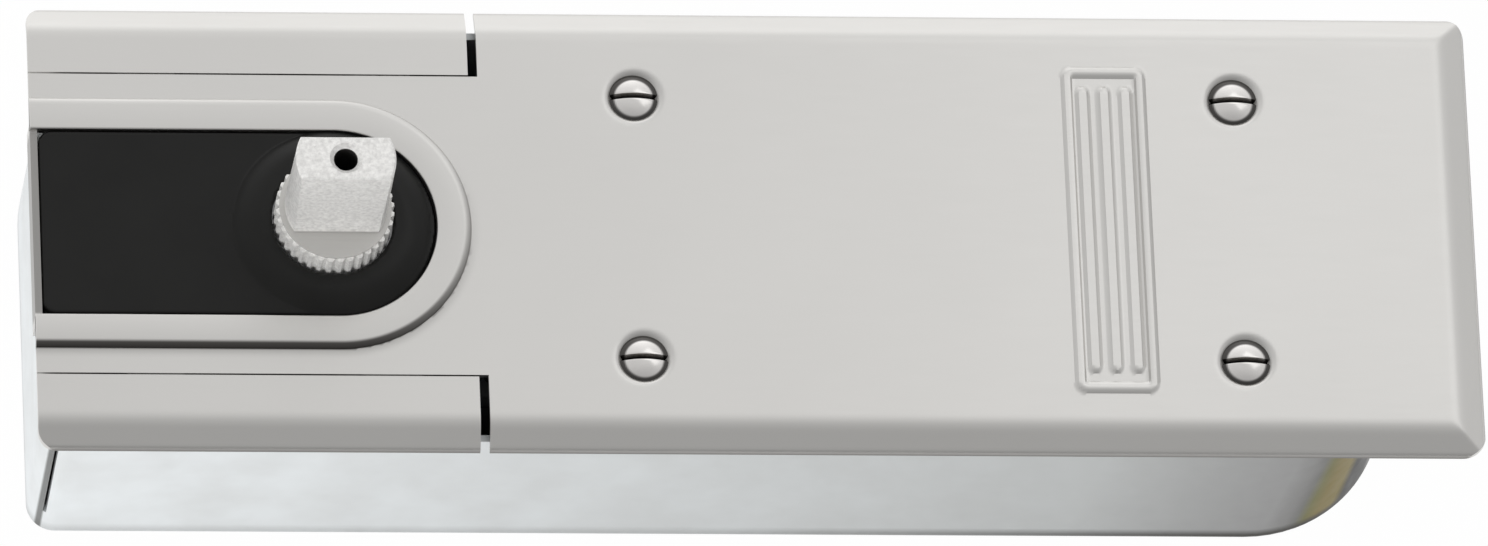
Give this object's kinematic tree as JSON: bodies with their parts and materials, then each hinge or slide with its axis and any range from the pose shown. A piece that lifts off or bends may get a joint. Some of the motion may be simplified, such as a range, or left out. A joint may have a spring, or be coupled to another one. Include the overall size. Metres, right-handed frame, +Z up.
{
  "type": "concealed floor door closer",
  "caption": "Floor-mounted concealed door closer: cam-action hydraulic body in a galvanised box under a bevelled steel cover plate, with an upright flat-sided spindle.",
  "frame": {"origin": "on the spindle axis, level with the flat top of the cover plate, which lies on the finished floor", "axes": "+Z up along the spindle; +X along the cover plate, from the spindle towards the spring end; +Y completes the right-handed frame"},
  "size_m": [0.306, 0.101, 0.0907],
  "materials": {
    "stainless": "satin brushed stainless sheet",
    "bright_screw": "polished stainless screw heads",
    "galvanised": "pale bluish galvanised steel",
    "black_moulding": "satin black moulding",
    "bright_steel": "bright turned and milled steel",
    "cast_body": "painted grey casting",
    "seal_rubber": "black sealing rubber",
    "dark_screw": "blackened steel screws",
    "bearing_bronze": "turned bronze",
    "hardened_steel": "ground hardened steel",
    "spring_steel": "oiled spring steel"
  },
  "bodies": {
    "root": {"cover_plate": "stainless", "side_strip_rear": "stainless", "side_strip_front": "stainless", "cover_screws": "bright_screw", "cement_box": "galvanised", "body_brackets": "galvanised", "strip_clips": "galvanised", "cover_posts": "galvanised", "spindle_cover": "black_moulding", "closer_housing": "cast_body", "bearing_cap": "cast_body", "cap_gasket": "seal_rubber", "cap_screws": "dark_screw", "shaft_seal": "seal_rubber", "upper_bearing": "bearing_bronze", "lower_bearing": "bearing_bronze", "closing_spring": "spring_steel", "end_plug": "hardened_steel", "end_plug_oring": "seal_rubber", "valve_orings": "seal_rubber", "filler_plug": "dark_screw", "levelling_screws": "dark_screw", "fixing_screws": "dark_screw"},
    "spindle": {"spindle_insert": "bright_steel", "cam_shaft": "hardened_steel", "heart_cam": "hardened_steel"},
    "carriage": {"tie_plate_upper": "hardened_steel", "tie_plate_lower": "hardened_steel", "roller_pins": "hardened_steel", "piston": "hardened_steel", "piston_pins": "hardened_steel", "piston_ring": "seal_rubber", "check_valve_cage": "bearing_bronze"},
    "closing_roller": {"closing_roller": "hardened_steel"},
    "return_roller": {"return_roller": "hardened_steel"},
    "check_ball": {"check_ball": "bright_steel"},
    "closing_valve": {"closing_valve": "bearing_bronze"},
    "latching_valve": {"latching_valve": "bearing_bronze"},
    "force_screw": {"force_screw": "dark_screw"},
    "spring_seat": {"spring_seat": "hardened_steel"}
  },
  "joints": [
    {"name": "spindle_turn", "type": "hinge", "parent": "root", "child": "spindle", "pos_m": [0, 0, 0], "axis": [0, 0, 1], "range_deg": [0, 170]},
    {"name": "carriage_slide", "type": "slide", "parent": "root", "child": "carriage", "axis": [1, 0, 0], "range_m": [0, 0.0136], "stiffness_N_per_m": 1000, "deforming": ["closing_spring"]},
    {"name": "closing_roller_spin", "type": "hinge", "parent": "carriage", "child": "closing_roller", "pos_m": [0.022, 0, -0.028], "axis": [0, 0, 1], "continuous": true},
    {"name": "return_roller_spin", "type": "hinge", "parent": "carriage", "child": "return_roller", "pos_m": [-0.0364, 0, -0.028], "axis": [0, 0, 1], "continuous": true},
    {"name": "check_ball_lift", "type": "slide", "parent": "carriage", "child": "check_ball", "axis": [1, 0, 0], "range_m": [0, 0.0008]},
    {"name": "closing_valve_turn", "type": "hinge", "parent": "root", "child": "closing_valve", "pos_m": [0.088, 0.027, -0.018], "axis": [0, 0, 1], "range_deg": [-180, 180]},
    {"name": "latching_valve_turn", "type": "hinge", "parent": "root", "child": "latching_valve", "pos_m": [0.102, 0.027, -0.018], "axis": [0, 0, 1], "range_deg": [-180, 180]},
    {"name": "force_screw_turn", "type": "hinge", "parent": "root", "child": "force_screw", "pos_m": [0.2, 0, -0.028], "axis": [1, 0, 0], "range_deg": [0, 1440]},
    {"name": "spring_seat_slide", "type": "slide", "parent": "root", "child": "spring_seat", "axis": [1, 0, 0], "range_m": [0, 0.006]}
  ],
  "couplings": [
    {"joint": "spindle_turn", "follows": "carriage_slide", "rad_per_m": 218.17},
    {"joint": "force_screw_turn", "follows": "spring_seat_slide", "rad_per_m": 4188.8}
  ]
}
